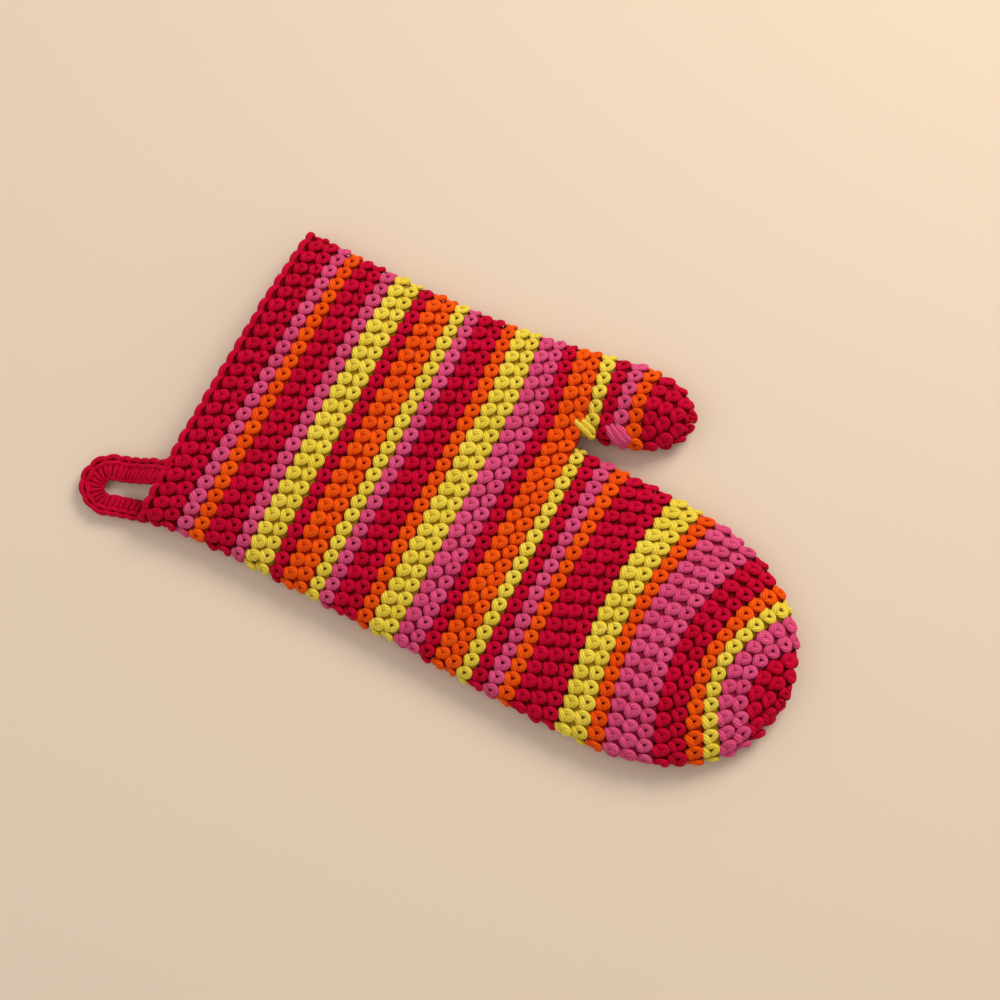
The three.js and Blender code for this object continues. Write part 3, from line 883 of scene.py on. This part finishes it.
def work_loop():
    strap = Strap()
    link = joined("loop_link", [
        yarn_rod("link_leg", LINK_LEG, LINK_RADIUS, cuts=5),
        yarn_rod("link_other_leg", mirrored(LINK_LEG), LINK_RADIUS, cuts=5),
    ])
    rib = yarn_rod("loop_rib", RIB_PATH, RIB_RADIUS, cuts=5)
    eye_link = yarn_rod("eye_link", EYE_LINK, RIB_RADIUS, cuts=5)
    core_path = [(CORE_INSET, 0, 0), (strap.length - CORE_INSET, 0, 0)]
    core = yarn_rod("loop_core", core_path, CORE_RADIUS, sides=8, cuts=60,
                    flat=CORE_FLATNESS, ends=0.9)
    under = Matrix.Diagonal((1, 1, -1, 1))
    bm = new_cloth()
    # The core takes the shadow tone: painted shade between the strap's links.
    lay(bm, core, Matrix.Identity(4), SHADOW_TONE, shake=0)
    links = round(strap.length / LINK_PITCH)
    for i in range(links):
        run = i * strap.length / links
        tone = chance.uniform(0.45, 1.0)
        at = Matrix.Translation((run, *LINK_PLACE))
        lay(bm, link, at, tone, shake=LOOP_SHAKE)
        lay(bm, link, under @ at, tone, shake=LOOP_SHAKE)
        lay(bm, eye_link, Matrix.Translation((run, *EYE_LINK_PLACE)), tone, shake=LOOP_SHAKE)
        for share in RIB_SHARES:
            at = Matrix.Translation((run + share * strap.length / links, 0, 0))
            lay(bm, rib, at, tone, shake=LOOP_SHAKE)
            lay(bm, rib, under @ at, tone, shake=LOOP_SHAKE)
    turn_outward(bm)
    obj = piece("hanging_loop_yarn", [warped(bm, strap, "hanging_loop_strap")], YARN["crimson"])
    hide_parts("hanging_loop")
    return obj


loop_piece = work_loop()

# ---- The darned stitches that close the crotch ----

DARN_RADIUS = 1.35
DARN_TONE = 0.8
YARN_END_RADIUS = 0.75
YELLOW_PLACE = (145.6, 62.6)    # the middle of the darn in the mitt's own millimetres
YELLOW_STRANDS = [
    [
        (-3.6, 4.2, -1.4), (-2.9, 3.0, 0.9), (-1.6, 0.6, 1.9), (0.6, -1.9, 1.9),
        (2.2, -3.8, 0.7), (2.7, -4.9, -1.4),
    ],
    [
        (-1.4, 5.0, -1.4), (-0.5, 3.7, 0.9), (0.6, 1.6, 1.9), (2.6, -0.7, 1.7),
        (4.1, -2.5, 0.5), (4.6, -3.6, -1.4),
    ],
]
YELLOW_END = [(0.6, -3.4, -0.8), (1.8, -4.5, 1.3), (3.2, -5.2, 1.6), (4.5, -5.5, 1.0)]
PINK_PLACE = (160.3, 67.0)
PINK_STRANDS = [
    [
        (-2.3, 5.4, -1.4), (-3.0, 4.0, 0.9), (-2.6, 1.2, 1.9), (-1.0, -1.8, 2.0),
        (0.9, -4.4, 1.2), (1.7, -5.9, -1.2),
    ],
    [
        (-0.3, 5.8, -1.4), (-0.6, 4.6, 1.0), (-0.2, 1.6, 2.0), (1.2, -1.3, 2.0),
        (2.6, -3.8, 1.2), (3.3, -5.4, -1.2),
    ],
    [
        (1.9, 5.4, -1.4), (1.9, 4.0, 0.7), (2.3, 1.4, 1.6), (3.4, -1.0, 1.6),
        (4.5, -3.2, 0.9), (5.0, -4.6, -1.2),
    ],
]


def darn(name, fabric, place, strands, colour):
    """Strands of yarn, each a path and its radius, laid on the front of the fabric."""
    rounds, share = fabric.place_over(*place)
    at = on_round(rounds, share, fabric.around(rounds) / STITCH_WIDTH)
    bm = new_cloth()
    for strand, radius in strands:
        rod = yarn_rod(name + "_strand", turned_path(strand, STITCH_TURN), radius, cuts=7)
        lay(bm, rod, at, DARN_TONE, shake=0.3)
    obj = piece(name + "_yarn", [warped(bm, fabric, name)], YARN[colour])
    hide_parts(name)
    return obj


yellow_strands = [(strand, DARN_RADIUS) for strand in YELLOW_STRANDS]
yellow_strands.append((YELLOW_END, YARN_END_RADIUS))
yellow_darn = darn("crotch_darn_yellow", hand_fabric, YELLOW_PLACE, yellow_strands, "yellow")
pink_strands = [(strand, DARN_RADIUS) for strand in PINK_STRANDS]
pink_darn = darn("crotch_darn_pink", thumb_fabric, PINK_PLACE, pink_strands, "pink")

# ---- Riding and bending ----

BEND = 45.0             # length of fabric that bends at the root of the fingers
THUMB_BEND = 32.0       # the same at the root of the thumb
LOOP_BEND_START = 4.0   # the loop bends from this far inside the cuff's edge
LOOP_BEND = 12.0        # to this far outside it


def joint_place(name):
    joint = next(j for j in frame["joints"] if j["name"] == name)
    return Vector(joint["pos_m"])


for _, _, obj in hand_pieces:
    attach(obj, "hand")
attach(edging, "hand")
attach(yellow_darn, "hand")
fold = joint_place("fingers_fold")
for first, _, obj in finger_pieces:
    if first * FINGERS["length"] / FINGERS["rounds"] < BEND:
        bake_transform(obj, "hand", "fingers", start=fold, end=fold + Vector((BEND * MM, 0, 0)))
    else:
        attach(obj, "fingers")
fold = joint_place("thumb_fold")
thumb_way = Vector((math.cos(THUMB_ANGLE), math.sin(THUMB_ANGLE), 0))
for first, _, obj in thumb_pieces:
    if first * THUMB["length"] / THUMB["rounds"] < THUMB_BEND:
        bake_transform(obj, "hand", "thumb", start=fold, end=fold + thumb_way * THUMB_BEND * MM)
    else:
        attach(obj, "thumb")
thumb_root = fold
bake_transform(pink_darn, "hand", "thumb", start=thumb_root,
         end=thumb_root + thumb_way * THUMB_BEND * MM)
swing = joint_place("loop_swing")
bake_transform(loop_piece, "hand", "hanging_loop", start=swing + Vector((LOOP_BEND_START * MM, 0, 0)),
         end=swing - Vector((LOOP_BEND * MM, 0, 0)))

# ---- Floor, light and camera ----

def plain_material(name, colour, roughness):
    material = bpy.data.materials.new(name)
    material.use_nodes = True
    shader = material.node_tree.nodes["Principled BSDF"]
    shader.inputs["Base Color"].default_value = (*colour, 1)
    shader.inputs["Roughness"].default_value = roughness
    return material


FLOOR_SIZE = 12
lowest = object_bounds()[0][2]
bpy.ops.mesh.primitive_plane_add(size=FLOOR_SIZE, location=(0, 0, lowest))
floor = bpy.context.object
floor.name = "floor"
floor.data.materials.append(plain_material("pale_floor", linear(214, 194, 174), roughness=0.7))


def area_light(name, place, size, power, colour):
    """A round soft light that faces the mitt."""
    data = bpy.data.lights.new(name, "AREA")
    data.shape = "DISK"
    data.size = size
    data.energy = power
    data.color = colour
    light = bpy.data.objects.new(name, data)
    light.location = place
    light.rotation_euler = (-Vector(place)).to_track_quat("-Z", "Y").to_euler()
    bpy.context.scene.collection.objects.link(light)


area_light("window", (0.2, 1.1, 1.0), size=0.8, power=17, colour=(1.0, 0.95, 0.86))
area_light("fill", (-0.9, -0.5, 1.2), size=1.6, power=5, colour=(1.0, 0.97, 0.94))

world = bpy.data.worlds.new("room")
bpy.context.scene.world = world
world.use_nodes = True
room_light = world.node_tree.nodes["Background"]
room_light.inputs["Color"].default_value = (0.95, 0.93, 0.9, 1)
room_light.inputs["Strength"].default_value = 0.6

CAMERA_TURN = math.radians(27.5)    # the mitt lies turned by this in the view
CAMERA_TILT = math.radians(8)
CAMERA_DISTANCE = 0.75
VIEW_WIDTH = 0.425                  # what the view takes in at the mitt
VIEW_CENTRE = [128.2, 19.0, 10.0]   # in the mitt's own millimetres
SENSOR_WIDTH = 36

look_at = Vector(to_frame(np.array([VIEW_CENTRE]))[0])
view_up = Vector((-math.sin(CAMERA_TURN), math.cos(CAMERA_TURN), 0))
back = Vector((0, 0, math.cos(CAMERA_TILT))) - view_up * math.sin(CAMERA_TILT)
camera_data = bpy.data.cameras.new("camera")
camera_data.sensor_width = SENSOR_WIDTH
camera_data.lens = SENSOR_WIDTH * CAMERA_DISTANCE / VIEW_WIDTH
camera = bpy.data.objects.new("camera", camera_data)
bpy.context.scene.collection.objects.link(camera)
camera.location = look_at + back * CAMERA_DISTANCE
right = Vector((math.cos(CAMERA_TURN), math.sin(CAMERA_TURN), 0))
camera.rotation_euler = Matrix((right, back.cross(right), back)).transposed().to_euler()
bpy.context.scene.camera = camera
bpy.context.scene.view_settings.view_transform = "Standard"
